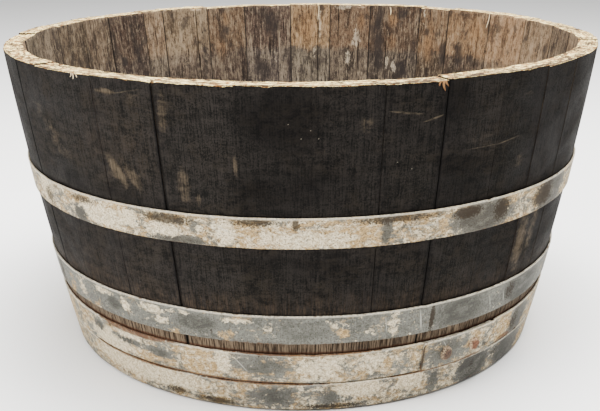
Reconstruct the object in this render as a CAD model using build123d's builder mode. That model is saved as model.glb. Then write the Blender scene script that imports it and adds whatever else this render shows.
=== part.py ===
"""The lower half of an oak wine barrel, cut down to an open tub.

Thirty-two bevelled staves stand side by side round a jointed, dowelled head and are bound
by four riveted galvanised hoops. Millimetres, +Z up. The origin is on the floor, in the
middle of the ring of stave ends that the tub stands on. Angles are in degrees,
counter-clockwise seen from above, from +X.
"""

from build123d import *
import math
import os

# ---- driving dimensions: the wall ---------------------------------------------------
rim_radius = 360
chime_radius = 298
wall_height = 366
wall_arc_radius = 3440
stave_thickness = 24.5

# Widths of the staves along the outside of the rim, counter-clockwise from the first
# joint. Coopers use whatever width each log gives, so no two are quite the same.
stave_widths = [
    68, 63, 67, 66, 62, 72, 75, 72, 66, 78, 82, 84, 54, 90, 70, 69,
    80, 66, 82, 37, 72, 55, 72, 74, 70, 69, 74, 52, 95, 73, 81, 72,
]
first_joint_angle = 271.6

# The saw wandered: how far each stave's sawn end stops below the highest one.
saw_drops = [1.4, 1.8, 0.0, 0.5, 0.9, 0.3, 1.1, 0.6]

# ---- driving dimensions: the chime, croze and head ----------------------------------
chime_flat = 9
chime_bevel_height = 20
howel_low, howel_high = 26, 68
howel_depth = 2
croze_low, croze_high = 43.5, 48.5
croze_depth = 6.5
head_thickness = 22
head_bevel_inset = 22
head_tongue = 4
head_board_widths = [84, 101, 108, 96, 107, 84]
dowel_radius = 4
dowel_length = 40
dowel_offset = 150

# ---- driving dimensions: the hoops --------------------------------------------------
hoop_thickness = 2
lap_length = 100
lap_clearance = 0.1
joggle_length = 4
inner_end_gap = 1
rivet_shank_radius = 3
rivet_head_radius = 5.5
rivet_head_height = 2.4
rivet_from_outer_end = 30
rivet_spacing = 40

# name: lower edge, upper edge, angle of the strip's outer end
hoops = {
    "head_hoop": (2, 37, 66),
    "collet_hoop": (38, 75.5, 294),
    "quarter_hoop": (88.5, 123, 81),
    "bilge_hoop": (200.5, 234, 104),
}

# ---- the wall's lengthwise curve -----------------------------------------------------
wall_lean = math.atan2(rim_radius - chime_radius, wall_height)
half_chord = math.hypot(rim_radius - chime_radius, wall_height) / 2
centre_distance = math.sqrt(wall_arc_radius**2 - half_chord**2)
arc_centre_x = (rim_radius + chime_radius) / 2 - centre_distance * math.cos(wall_lean)
arc_centre_z = wall_height / 2 + centre_distance * math.sin(wall_lean)


def wall_radius(z, depth=0):
    """Distance from the barrel's axis to the surface that lies depth inside the wall."""
    reach = math.sqrt((wall_arc_radius - depth) ** 2 - (z - arc_centre_z) ** 2)
    return arc_centre_x + reach


def wall_arc(low_z, high_z, depth=0):
    """Lengthwise arc of the wall between two heights, as three points."""
    heights = (low_z, (low_z + high_z) / 2, high_z)
    return [(wall_radius(z, depth), z) for z in heights]


def upright_plane(angle):
    """Plane through the barrel's axis at an angle, its x pointing outwards, its y up."""
    turn = math.radians(angle)
    outwards = (math.cos(turn), math.sin(turn), 0)
    return Plane(origin=(0, 0, 0), x_dir=outwards, z_dir=(outwards[1], -outwards[0], 0))


def degrees_of_arc(length, radius):
    return math.degrees(length / radius)


# ---- staves --------------------------------------------------------------------------
howel_radius = wall_radius((howel_low + howel_high) / 2, stave_thickness) + howel_depth
croze_radius = wall_radius((croze_low + croze_high) / 2, stave_thickness) + croze_depth


def make_stave(name, start_angle, sweep, top_z):
    """A stave: sawn flat at the rim, bevelled at the chime, with a howel and a croze."""
    outside = wall_arc(0, top_z)
    inside = wall_arc(howel_high, top_z, stave_thickness)
    inside.reverse()
    with BuildPart() as stave:
        with BuildSketch(upright_plane(start_angle)):
            with BuildLine():
                ThreePointArc(*outside)
                Line(outside[-1], inside[0])
                ThreePointArc(*inside)
                Polyline(
                    inside[-1],
                    (howel_radius, croze_high),
                    (croze_radius, croze_high),
                    (croze_radius, croze_low),
                    (howel_radius, croze_low),
                    (wall_radius(howel_low, stave_thickness), howel_low),
                    (wall_radius(chime_bevel_height, stave_thickness), chime_bevel_height),
                    (chime_radius - chime_flat, 0),
                    outside[0],
                )
            make_face()
        revolve(axis=Axis.Z, revolution_arc=sweep)
    stave.part.label = name
    export_step(stave.part, f"parts/{name}.step")


# ---- head ----------------------------------------------------------------------------
head_middle = (croze_low + croze_high) / 2
head_low = head_middle - head_thickness / 2
head_high = head_middle + head_thickness / 2
tongue_radius = wall_radius(croze_high, stave_thickness) - head_tongue


def make_head_board(name, left_edge, right_edge, joint_edges):
    """One board of the round head, bevelled to a tongue where it meets the staves."""
    with BuildPart() as board:
        with BuildSketch(Plane.XZ):
            with BuildLine():
                Polyline(
                    (0, head_low),
                    (croze_radius - head_bevel_inset - croze_depth, head_low),
                    (tongue_radius, croze_low),
                    (croze_radius, croze_low),
                    (croze_radius, croze_high),
                    (tongue_radius, croze_high),
                    (croze_radius - head_bevel_inset - croze_depth, head_high),
                    (0, head_high),
                    close=True,
                )
            make_face()
        revolve(axis=Axis.Z)
        with Locations(((left_edge + right_edge) / 2, 0, head_middle)):
            Box(right_edge - left_edge, 2 * croze_radius, head_thickness, mode=Mode.INTERSECT)
        for edge in joint_edges:
            with Locations((edge, -dowel_offset, head_middle), (edge, dowel_offset, head_middle)):
                Cylinder(dowel_radius, dowel_length, rotation=(0, 90, 0), mode=Mode.SUBTRACT)
    board.part.label = name
    export_step(board.part, f"parts/{name}.step")


def make_head_dowels(joint_edges):
    """Round pegs that line the head boards up, two in each joint."""
    with BuildPart() as dowels:
        for edge in joint_edges:
            with Locations((edge, -dowel_offset, head_middle), (edge, dowel_offset, head_middle)):
                Cylinder(dowel_radius, dowel_length, rotation=(0, 90, 0))
    dowels.part.label = "head_dowels"
    export_step(dowels.part, "parts/head_dowels.step")


# ---- hoops and rivets ----------------------------------------------------------------
lap_depth = -(hoop_thickness + lap_clearance)


def rivet_planes(low_z, high_z, outer_end_angle):
    """Tangent planes on the wall, under each rivet of a hoop, their z pointing outwards."""
    middle_z = (low_z + high_z) / 2
    radius = wall_radius(middle_z)
    outward_tilt = math.asin((middle_z - arc_centre_z) / wall_arc_radius)
    planes = []
    for number in range(2):
        distance = rivet_from_outer_end + number * rivet_spacing
        turn = math.radians(outer_end_angle + degrees_of_arc(distance, radius))
        outwards = (math.cos(turn), math.sin(turn))
        normal = (
            outwards[0] * math.cos(outward_tilt),
            outwards[1] * math.cos(outward_tilt),
            math.sin(outward_tilt),
        )
        foot = (outwards[0] * radius, outwards[1] * radius, middle_z)
        planes.append(Plane(origin=foot, x_dir=(-outwards[1], outwards[0], 0), z_dir=normal))
    return planes


def strip_section(angle, low_z, high_z, inner_depth, outer_depth):
    """Section of a strip that follows the wall between two depths, at an angle."""
    inner = wall_arc(low_z, high_z, inner_depth)
    outer = wall_arc(low_z, high_z, outer_depth)
    outer.reverse()
    with BuildSketch(upright_plane(angle)) as section:
        with BuildLine():
            ThreePointArc(*inner)
            Line(inner[-1], outer[0])
            ThreePointArc(*outer)
            Line(outer[-1], inner[0])
        make_face()
    return section.sketch


def make_hoop(name, low_z, high_z, outer_end_angle):
    """A steel strip bent round the wall, its outer end lapped over its inner end."""
    radius = wall_radius((low_z + high_z) / 2)
    lap = degrees_of_arc(lap_length, radius)
    gap = degrees_of_arc(inner_end_gap, radius)
    joggle = degrees_of_arc(joggle_length, radius)
    joggle_angle = outer_end_angle + lap
    double_depth = lap_depth - hoop_thickness
    ring = strip_section(joggle_angle, low_z, high_z, 0, -hoop_thickness)
    step = strip_section(joggle_angle, low_z, high_z, 0, double_depth)
    outer_end = strip_section(outer_end_angle, low_z, high_z, lap_depth, double_depth)
    with BuildPart() as hoop:
        revolve(ring, axis=Axis.Z, revolution_arc=360 - gap)
        revolve(step, axis=Axis.Z, revolution_arc=joggle)
        revolve(outer_end, axis=Axis.Z, revolution_arc=lap + joggle)
        with Locations(*rivet_planes(low_z, high_z, outer_end_angle)):
            Cylinder(rivet_shank_radius, 4 * hoop_thickness + 2, mode=Mode.SUBTRACT)
    hoop.part.label = name
    export_step(hoop.part, f"parts/{name}.step")


def make_rivets(name, low_z, high_z, outer_end_angle):
    """The two dome-headed rivets through a hoop's lap, flush on the inside."""
    grip = hoop_thickness - lap_depth
    dome_height = grip + rivet_head_height
    dome_radius = (rivet_head_radius**2 + rivet_head_height**2) / (2 * rivet_head_height)
    rim_angle = math.degrees(math.acos(rivet_head_radius / dome_radius))
    with BuildPart() as rivets:
        for seat in rivet_planes(low_z, high_z, outer_end_angle):
            with BuildSketch(Plane(origin=seat.origin, x_dir=seat.x_dir, z_dir=-seat.y_dir)):
                with BuildLine():
                    Polyline(
                        (0, dome_height),
                        (0, 0),
                        (rivet_shank_radius, 0),
                        (rivet_shank_radius, grip),
                        (rivet_head_radius, grip),
                    )
                    CenterArc((0, dome_height - dome_radius), dome_radius, rim_angle, 90 - rim_angle)
                make_face()
            revolve(axis=Axis(seat.origin, seat.z_dir))
    rivets.part.label = name
    export_step(rivets.part, f"parts/{name}.step")


# ---- the assembly --------------------------------------------------------------------
os.makedirs("parts", exist_ok=True)

stave_angle = first_joint_angle
for index, width in enumerate(stave_widths):
    sweep_angle = 360 * width / sum(stave_widths)
    sawn_height = wall_height - saw_drops[index % len(saw_drops)]
    make_stave(f"stave_{index + 1:02d}", stave_angle, sweep_angle, sawn_height)
    stave_angle += sweep_angle

board_edges = [-sum(head_board_widths) / 2]
for width in head_board_widths:
    board_edges.append(board_edges[-1] + width)
head_joints = board_edges[1:-1]
for index in range(len(head_board_widths)):
    left, right = board_edges[index], board_edges[index + 1]
    own_joints = [edge for edge in head_joints if edge in (left, right)]
    make_head_board(f"head_board_{index + 1}", left, right, own_joints)
make_head_dowels(head_joints)

for hoop_name, (low_edge, high_edge, outer_end) in hoops.items():
    make_hoop(hoop_name, low_edge, high_edge, outer_end)
    make_rivets(f"{hoop_name}_rivets", low_edge, high_edge, outer_end)
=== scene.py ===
"""The looks of the half barrel tub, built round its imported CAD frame.

Metres, +Z up, the origin on the floor at the barrel's axis. Angles are in degrees,
counter-clockwise seen from above, from +X. The marks' heights and sizes are in millimetres.
"""

import functools
import itertools
import math
from types import SimpleNamespace

import bpy
import numpy as np
from mathutils import Matrix, Vector


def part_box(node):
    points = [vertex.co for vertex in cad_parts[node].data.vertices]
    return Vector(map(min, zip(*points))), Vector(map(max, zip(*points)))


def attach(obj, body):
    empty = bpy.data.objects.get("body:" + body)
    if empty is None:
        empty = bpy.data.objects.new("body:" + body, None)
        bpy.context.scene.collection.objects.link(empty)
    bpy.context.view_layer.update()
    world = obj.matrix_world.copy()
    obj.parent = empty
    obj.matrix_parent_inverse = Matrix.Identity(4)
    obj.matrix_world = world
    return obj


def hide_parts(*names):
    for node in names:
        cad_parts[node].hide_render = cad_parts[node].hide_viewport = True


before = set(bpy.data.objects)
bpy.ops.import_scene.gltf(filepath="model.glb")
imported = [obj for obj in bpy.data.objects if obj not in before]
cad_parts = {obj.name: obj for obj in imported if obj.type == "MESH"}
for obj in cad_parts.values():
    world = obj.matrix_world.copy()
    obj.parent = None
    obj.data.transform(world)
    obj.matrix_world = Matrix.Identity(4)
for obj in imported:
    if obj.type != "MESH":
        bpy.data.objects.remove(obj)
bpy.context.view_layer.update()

MM = 0.001

# ---- the wall: the CAD part's driving dimensions, in metres ----------------------------
RIM_RADIUS = 0.360
CHIME_RADIUS = 0.298
WALL_HEIGHT = 0.366
WALL_ARC_RADIUS = 3.440
STAVE_THICKNESS = 0.0245
CHIME_FLAT = 0.009
CHIME_BEVEL_HEIGHT = 0.020
HOWEL_LOW, HOWEL_HIGH, HOWEL_DEPTH = 0.026, 0.068, 0.002
CROZE_LOW, CROZE_HIGH, CROZE_DEPTH = 0.0435, 0.0485, 0.0065
HEAD_THICKNESS = 0.022
HOOP_THICKNESS = 0.002
LAP_LENGTH = 0.100
LAP_OFFSET = 0.0021
JOGGLE_LENGTH = 0.004
INNER_END_GAP = 0.001
RIVET_DISTANCES = (0.030, 0.070)
OUTER_ENDS = {"head_hoop": 66, "collet_hoop": 294, "quarter_hoop": 81, "bilge_hoop": 104}

STAVE_COUNT = 32
HEAD_BOARD_COUNT = 6
# Angles become lengths at this radius, for marks and noise that follow the wall.
PLACE_RADIUS = 0.335

wall_lean = math.atan2(RIM_RADIUS - CHIME_RADIUS, WALL_HEIGHT)
half_chord = math.hypot(RIM_RADIUS - CHIME_RADIUS, WALL_HEIGHT) / 2
centre_distance = math.sqrt(WALL_ARC_RADIUS**2 - half_chord**2)
ARC_CENTRE_X = (RIM_RADIUS + CHIME_RADIUS) / 2 - centre_distance * math.cos(wall_lean)
ARC_CENTRE_Z = WALL_HEIGHT / 2 + centre_distance * math.sin(wall_lean)


def wall_radius(z, depth=0.0):
    """Distance from the axis to the surface that lies depth inside the wall."""
    return ARC_CENTRE_X + np.sqrt((WALL_ARC_RADIUS - depth) ** 2 - (z - ARC_CENTRE_Z) ** 2)


HOWEL_RADIUS = wall_radius((HOWEL_LOW + HOWEL_HIGH) / 2, STAVE_THICKNESS) + HOWEL_DEPTH
CROZE_RADIUS = wall_radius((CROZE_LOW + CROZE_HIGH) / 2, STAVE_THICKNESS) + CROZE_DEPTH


# ---- random surfaces ---------------------------------------------------------------------
def lattice(points, seed):
    """Smooth random values from -1 to 1 at rows of points, with features one unit across."""
    base = np.floor(points)
    part = points - base
    part = part * part * (3 - 2 * part)
    base = base.astype(np.int64)
    total = np.zeros(len(points))
    for corner in itertools.product((0, 1), repeat=3):
        cell = base + corner
        mixed = cell[:, 0] * 374761393 + cell[:, 1] * 668265263 + cell[:, 2] * 40503 + seed * 97
        mixed = ((mixed ^ (mixed >> 13)) * 1274126177) & 0xFFFFFFFF
        mixed = ((mixed ^ (mixed >> 15)) * 2246822519) & 0xFFFFFFFF
        weight = np.prod(np.where(corner, part, 1 - part), axis=1)
        total += weight * (((mixed ^ (mixed >> 16)) & 0xFFFF) / 32767.5 - 1)
    return total


def rough(coordinates, sizes, seed, octaves=1):
    """Fractal noise with features of the given sizes, at an array of 3-D points."""
    points = (coordinates / np.array(sizes)).reshape(-1, 3)
    total = sum(lattice(points * 2**o, seed + 31 * o) / 2**o for o in range(octaves))
    return total.reshape(coordinates.shape[:-1])


def smooth(value, low, high):
    """0 below low, 1 above high, and an S-curve in between."""
    t = np.clip((value - low) / (high - low), 0, 1)
    return t * t * (3 - 2 * t)


def uneven(points, sizes, height, seed, octaves=1):
    """Soft swellings from 0 to a height, with features of the given sizes in metres."""
    return height * (1 + rough(points, sizes, seed, octaves)) / 2


def fade(distance, reach):
    """1 at a distance of 0, falling straight to 0 at reach."""
    return np.clip(1 - distance / reach, 0, 1)


def rounded(distance, radius):
    """How far a rounded edge falls away at a distance from it."""
    inside = np.clip(radius - distance, 0, radius)
    return radius - np.sqrt(radius**2 - inside**2)


def stack(x, y, z=0.0):
    """Points from their coordinates, or any three values for each point, as vectors."""
    return np.stack(np.broadcast_arrays(x, y, z), -1)


def turned(radius, turn, height=0.0):
    """Points at a distance from the axis, an angle in radians and a height."""
    return stack(radius * np.cos(turn), radius * np.sin(turn), height)


# ---- meshes ------------------------------------------------------------------------------
SHARP_ANGLE = math.radians(50)


def loft(name, rings, materials, sections=None):
    """A closed solid through rings of points. sections, if given, has each row's material."""
    count, size = rings.shape[:2]
    if sections is None:
        sections = np.zeros(size, int)
    corner = np.arange(count * size).reshape(count, size)
    here, there = corner[:-1], corner[1:]
    around = (here, np.roll(here, -1, 1), np.roll(there, -1, 1), there)
    quads = np.stack(around, -1).reshape(-1, 4)
    ends = (corner[0][::-1], corner[-1])
    first, second, third = (rings.reshape(-1, 3)[quads[:, i]] for i in range(3))
    volume = np.einsum("ij,ij->", np.cross(first, second), third)
    if volume < 0:
        quads = quads[:, ::-1]
        ends = (corner[0], corner[-1][::-1])
    loops = np.concatenate([quads.ravel(), *ends])
    starts = np.concatenate([np.arange(0, quads.size, 4), [quads.size, quads.size + size]])
    mesh = bpy.data.meshes.new(name)
    mesh.vertices.add(count * size)
    mesh.vertices.foreach_set("co", rings.ravel())
    mesh.loops.add(len(loops))
    mesh.loops.foreach_set("vertex_index", loops)
    mesh.polygons.add(len(starts))
    mesh.polygons.foreach_set("loop_start", starts)
    slots = np.concatenate([np.tile(sections, count - 1), [sections[-1]] * 2])
    mesh.polygons.foreach_set("material_index", slots)
    mesh.update(calc_edges=True)
    mesh.polygons.foreach_set("use_smooth", np.ones(len(starts), bool))
    mesh.set_sharp_from_angle(angle=SHARP_ANGLE)
    for material in materials:
        mesh.materials.append(material)
    piece = bpy.data.objects.new(name, mesh)
    bpy.context.collection.objects.link(piece)
    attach(piece, "root")
    return piece


def keep(piece, **fields):
    """Stores named values on the piece's points, for its materials to read."""
    for name, values in fields.items():
        values = np.asarray(values, float)
        vector = values.shape[-1] == 3
        kind, key = ("FLOAT_VECTOR", "vector") if vector else ("FLOAT", "value")
        piece.data.attributes.new(name, kind, "POINT").data.foreach_set(key, values.ravel())


def span(node):
    """Middle angle and half the sweep, in radians, that a CAD node covers about the axis."""
    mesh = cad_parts[node].data
    points = np.empty(len(mesh.vertices) * 3)
    mesh.vertices.foreach_get("co", points)
    points = points.reshape(-1, 3)
    middle = math.atan2(points[:, 1].sum(), points[:, 0].sum())
    swept = np.angle(np.exp(1j * (np.arctan2(points[:, 1], points[:, 0]) - middle)))
    middle += (swept.max() + swept.min()) / 2
    return middle % math.tau, (swept.max() - swept.min()) / 2


def painted(turn, height, marks, first_angle=0.0):
    """Strength, at each point, of the soft marks in a table. They start at first_angle."""
    total = np.zeros(np.broadcast(turn, height).shape)
    for angle, up, half_width, half_height, strength, *slope in marks:
        angle = first_angle + (angle - first_angle) % 360
        rise = height - up * MM
        across = (turn - math.radians(angle)) * PLACE_RADIUS - sum(slope) * rise
        across = across / (half_width * MM)
        along = rise / (half_height * MM)
        inside = np.clip(1.5 - np.hypot(across, along), 0, 1)
        total = np.maximum(total, strength * inside)
    return total


def painted_layers(turn, height, layers, first_angle=0.0):
    """Three layers of painted marks, as one vector."""
    return np.stack([painted(turn, height, marks, first_angle) for marks in layers], -1)


# ---- node trees --------------------------------------------------------------------------
def tone(red, green, blue):
    """A colour given as it would be mixed on a screen, 0 to 255, as linear values."""
    parts = [part / 255 for part in (red, green, blue)]
    return (*(((p + 0.055) / 1.055) ** 2.4 if p > 0.04 else p / 12.92 for p in parts), 1.0)


def arithmetic(operation, swapped=False):
    """A method that joins a value and another, or a number, by a math node."""
    def method(self, other):
        pair = (other, self) if swapped else (self, other)
        return self.shader.math(operation, *pair)
    return method


class Value:
    """A number or colour in a node tree. Its sums and products become the tree's own nodes."""

    def __init__(self, shader, socket):
        self.shader = shader
        self.socket = socket

    __add__ = __radd__ = arithmetic("ADD")
    __mul__ = __rmul__ = arithmetic("MULTIPLY")
    __sub__ = arithmetic("SUBTRACT")
    __rsub__ = arithmetic("SUBTRACT", swapped=True)

    def level(self, low, high, start=0.0, end=1.0):
        """Start below low, end above high, with an S-curve in between."""
        names = ("From Min", "From Max", "To Min", "To Max")
        node = self.shader.add("MapRange", {"interpolation_type": "SMOOTHSTEP"}, Value=self)
        for name, number in zip(names, (low, high, start, end)):
            node.inputs[name].default_value = number
        return Value(self.shader, node.outputs[0])

    def between(self, first, second):
        """From the first screen colour, where this is 0, to the second, where it is 1."""
        return self.shader.blend(self, tone(*first), tone(*second))

    def coat(self, cover, red, green, blue):
        """This colour with another laid over it, where cover is above 0."""
        return self.shader.blend(cover, self, tone(red, green, blue))

    def ragged(self, noise, edge=0.12, reach=3.0):
        """A soft mark with a torn outline: noise eats into it from its edge."""
        torn = self + (noise - 0.5) * reach
        return torn.level(0.5 - edge, 0.5 + edge) * self.level(0.0, 0.35)


class Shader:
    """A material's node tree, with one word for each thing that a surface needs."""

    def __init__(self, name, roughness=0.8, specular=0.3, metallic=0.0):
        self.material = bpy.data.materials.new(name)
        self.material.use_nodes = True
        self.tree = self.material.node_tree
        self.tree.nodes.clear()
        self.fields = {}
        self.surface = self.add("BsdfPrincipled", Roughness=roughness, Metallic=metallic)
        self.surface.inputs["Specular IOR Level"].default_value = specular
        self.add("OutputMaterial", Surface=Value(self, self.surface.outputs[0]))

    def add(self, kind, settings=None, **inputs):
        node = self.tree.nodes.new("ShaderNode" + kind)
        for key, value in (settings or {}).items():
            setattr(node, key, value)
        self.feed(node, inputs)
        return node

    def feed(self, node, inputs):
        for key, value in inputs.items():
            if isinstance(value, Value):
                self.tree.links.new(value.socket, node.inputs[key])
            else:
                node.inputs[key].default_value = value

    def stored(self, name, output="Vector"):
        """A value that the mesh's points carry. Each has one node in the tree."""
        if name not in self.fields:
            self.fields[name] = self.add("Attribute", {"attribute_name": name})
        return Value(self, self.fields[name].outputs[output])

    def amount(self, name):
        return self.stored(name, "Fac")

    def parts(self, name):
        split = self.add("SeparateXYZ", Vector=self.stored(name))
        return [Value(self, output) for output in split.outputs]

    def math(self, operation, first, second=0.0, clamp=False):
        node = self.add("Math", {"operation": operation, "use_clamp": clamp})
        self.feed(node, {0: first, 1: second})
        return Value(self, node.outputs[0])

    def vector(self, operation, first, second=(0, 0, 0), output=0):
        node = self.add("VectorMath", {"operation": operation})
        self.feed(node, {0: first, 1: second})
        return Value(self, node.outputs[output])

    def noise(self, place, sizes, detail=3.0, roughness=0.55, warp=0.0, shift=None):
        """Noise, about 0.3 to 0.7, with features of the given sizes in millimetres."""
        if isinstance(place, str):
            place = self.stored(place)
        if shift:
            place = self.vector("ADD", place, shift)
        scaled = self.vector("MULTIPLY", place, [1 / (size * MM) for size in sizes])
        node = self.add("TexNoise", Vector=scaled, Scale=1.0, Detail=detail, Distortion=warp)
        node.inputs["Roughness"].default_value = roughness
        return Value(self, node.outputs["Fac"])

    def blend(self, factor, first, second, mode="MIX"):
        node = self.add("Mix", {"data_type": "RGBA", "blend_type": mode})
        self.feed(node, {0: factor, 6: first, 7: second})
        return Value(self, node.outputs[2])

    def either(self, *values):
        return functools.reduce(lambda first, second: self.math("MAXIMUM", first, second), values)

    def stroke(self, start, end, half_width, first=0):
        """A straight stroke that tapers to both its ends. Its ends are (angle, height in mm)."""
        low, high = (
            Vector((math.radians(first + (angle - first) % 360) * PLACE_RADIUS, z * MM, 0))
            for angle, z in (start, end)
        )
        reach = high - low
        offset = self.vector("SUBTRACT", self.stored("place"), low)
        dot = self.vector("DOT_PRODUCT", offset, reach / reach.length_squared, "Value")
        along = self.math("ADD", dot, 0.0, clamp=True)
        spread = self.add("VectorMath", {"operation": "SCALE"})
        self.feed(spread, {0: reach, "Scale": along})
        distance = self.vector("DISTANCE", offset, Value(self, spread.outputs[0]), "Value")
        taper = self.math("SQRT", along * (1.0 - along))
        return (taper * (2 * half_width * MM) - distance).level(0.0, half_width * MM)

    def finish(self, colour, roughness=None, height=None, depth=0.0003, metallic=None):
        fields = {"Base Color": colour, "Roughness": roughness, "Metallic": metallic}
        if height is not None:
            fields["Normal"] = Value(self, self.add("Bump", Height=height, Distance=depth).outputs[0])
        self.feed(self.surface, {key: value for key, value in fields.items() if value is not None})
        return self.material


# ---- oak ---------------------------------------------------------------------------------
def sawn_oak(shader):
    """Colour and height of pale, rough-sawn oak, where the grain is cut across."""
    rough_cut = shader.noise("grain", (6, 5, 20), 5, 0.75, 0.3)
    pores = shader.noise("grain", (2, 2, 10), 3, 0.75)
    blotch = shader.noise("grain", (16, 9, 50), 5, 0.7)
    colour = rough_cut.level(0.43, 0.54).between((150, 104, 56), (255, 232, 164))
    colour = colour.coat(blotch.level(0.52, 0.6, 0.0, 0.4), 170, 128, 78)
    colour = colour.coat(pores.level(0.54, 0.6, 0.0, 0.6), 84, 56, 32)
    height = rough_cut + pores * -1.0
    return colour, height


def rim_material():
    """The raw sawn end of the staves: saw marks, torn fibres and brown flecks."""
    shader = Shader("sawn_rim", roughness=0.85, specular=0.2)
    depth = shader.amount("depth")
    colour, height = sawn_oak(shader)
    grime = shader.noise("grain", (40, 16, 1000), 5, 0.7)
    streaks = shader.noise("grain", (30, 4, 1000), 4, 0.75, 0.3)
    flecks = shader.noise("grain", (12, 7, 1000), 5, 0.8, 0.3)
    colour = colour.coat(grime.level(0.52, 0.62, 0.0, 0.3), 130, 92, 54)
    colour = colour.coat(streaks.level(0.51, 0.58, 0.0, 0.85), 74, 49, 28)
    colour = colour.coat(flecks.level(0.53, 0.57, 0.0, 0.96), 44, 30, 19)
    stained = shader.amount("rim_stain").ragged(flecks, 0.3, 7.0) * 0.98
    colour = colour.coat(stained, 56, 42, 29)
    colour = colour.coat(shader.amount("joint") * 0.25, 84, 56, 34)
    skin = depth + flecks * 0.004
    inner_skin = skin.level(STAVE_THICKNESS - 0.0008, STAVE_THICKNESS + 0.0012, 0.0, 0.85)
    colour = colour.coat(inner_skin, 90, 66, 44)
    outer_skin = skin.level(0.003, 0.0016, 0.0, 0.88)
    colour = colour.coat(outer_skin, 62, 46, 32)
    height = height + streaks * -0.8 + flecks * -1.0
    return shader.finish(colour, height=height, depth=0.0012)


EARTH_LINE = 0.138
# Scratches as (angle, height) of both ends and half width, and single pale flecks.
OUTER_STROKES = [
    ((283, 338), (288.8, 333), 1.9), ((288.6, 325), (292.2, 331), 1.7), ((297, 292), (303.6, 293), 0.8),
    ((303, 292), (308.8, 297), 1.1), ((279.3, 333), (279.4, 318), 0.8), ((240, 349), (245.2, 356), 1),
]
OUTER_FLECKS = [
    (268.1, 328), (271.4, 322), (270, 314), (272.6, 314), (285, 287), (287.5, 279),
]


def outer_material():
    """The stained, weathered outside: near black, with scuffs down to greyer wood."""
    shader = Shader("stained_oak", roughness=0.75, specular=0.03)
    scuff, soot, brown = shader.parts("outside")
    height_above = shader.parts("place")[1]
    lightness = shader.amount("lightness")
    fibres = shader.noise("grain", (1.2, 4, 30), 4, 0.75)
    mottle = shader.noise("place", (12, 9, 1000), 7, 0.8, 0.2)
    cloud = shader.noise("place", (60, 50, 1000), 5, 0.6, 0.3)
    smear = shader.noise("place", (40, 6, 1000), 5, 0.7, 0.2)
    grit = shader.noise("place", (1.6, 1.8, 1000), 3, 0.8)

    base = fibres * 0.55 + mottle * 0.5 + grit * 0.6
    colour = base.level(0.72, 0.93).between((19, 18, 17), (48, 44, 41))
    worn = cloud.level(0.46, 0.62) * mottle.level(0.44, 0.6)
    colour = colour.coat(worn * 0.4, 54, 48, 40)
    colour = colour.coat(smear.level(0.5, 0.62, 0.0, 0.35), 17, 16, 15)
    dark_patch = soot.ragged(cloud, 0.5, 2.0) * 0.55
    colour = colour.coat(dark_patch, 15, 14, 14)

    hairs = shader.noise("grain", (1.4, 10, 18), 4, 0.75).level(0.46, 0.6)
    low_down = height_above.level(EARTH_LINE + 0.020, EARTH_LINE - 0.020)
    dusty = shader.either(brown * 0.45, low_down) * (hairs + 0.12)
    dusty = dusty * mottle.level(0.38, 0.58, 0.25, 1.0)
    colour = colour.coat(dusty * 0.6, 82, 68, 55)
    bare = fibres.level(0.44, 0.56).between((50, 40, 32), (124, 107, 88))
    quarter_low, collet_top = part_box("quarter_hoop")[0].z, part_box("collet_hoop")[1].z
    between_hoops = height_above.level(quarter_low + 0.0055, quarter_low - 0.0025, 0.0, 0.95)
    colour = shader.blend(between_hoops, colour, bare)
    rusty = height_above.level(collet_top + 0.0035, collet_top + 0.0007) * 0.7
    colour = colour.coat(rusty, 74, 42, 27)

    # Each stave's own tone, and partly painted light: along the front the staves grow darker from left to
    # right.
    lit = lightness.between((160, 160, 160), (255, 255, 255))
    colour = shader.blend(1.0, colour, lit, "MULTIPLY")
    rub = scuff + (mottle - 0.5) * 1.8
    rub = rub.level(0.15, 1.0) * scuff.level(0.0, 0.25)
    rub = rub * fibres.level(0.38, 0.6, 0.35, 0.9)
    colour = colour.coat(rub, 88, 77, 62)
    strokes = [shader.stroke(*stroke) for stroke in OUTER_STROKES]
    scratched = shader.either(*strokes) * mottle.level(0.42, 0.58, 0.15, 0.7)
    colour = colour.coat(scratched, 84, 75, 62)
    flecks = [shader.stroke((a - 0.1, z), (a + 0.1, z + 0.5), 0.6) for a, z in OUTER_FLECKS]
    colour = colour.coat(shader.either(*flecks) * 0.7, 150, 142, 128)
    raw = shader.amount("raw")
    colour = shader.blend(raw.ragged(grit, 0.15, 1.2), colour, sawn_oak(shader)[0])
    colour = colour.coat(shader.amount("joint"), 7, 7, 7)
    shine = cloud.level(0.35, 0.65, 0.62, 0.85)
    height = fibres * 0.8 + grit * 0.8 + mottle * 1.4
    return shader.finish(colour, shine, height, 0.0006)


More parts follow.
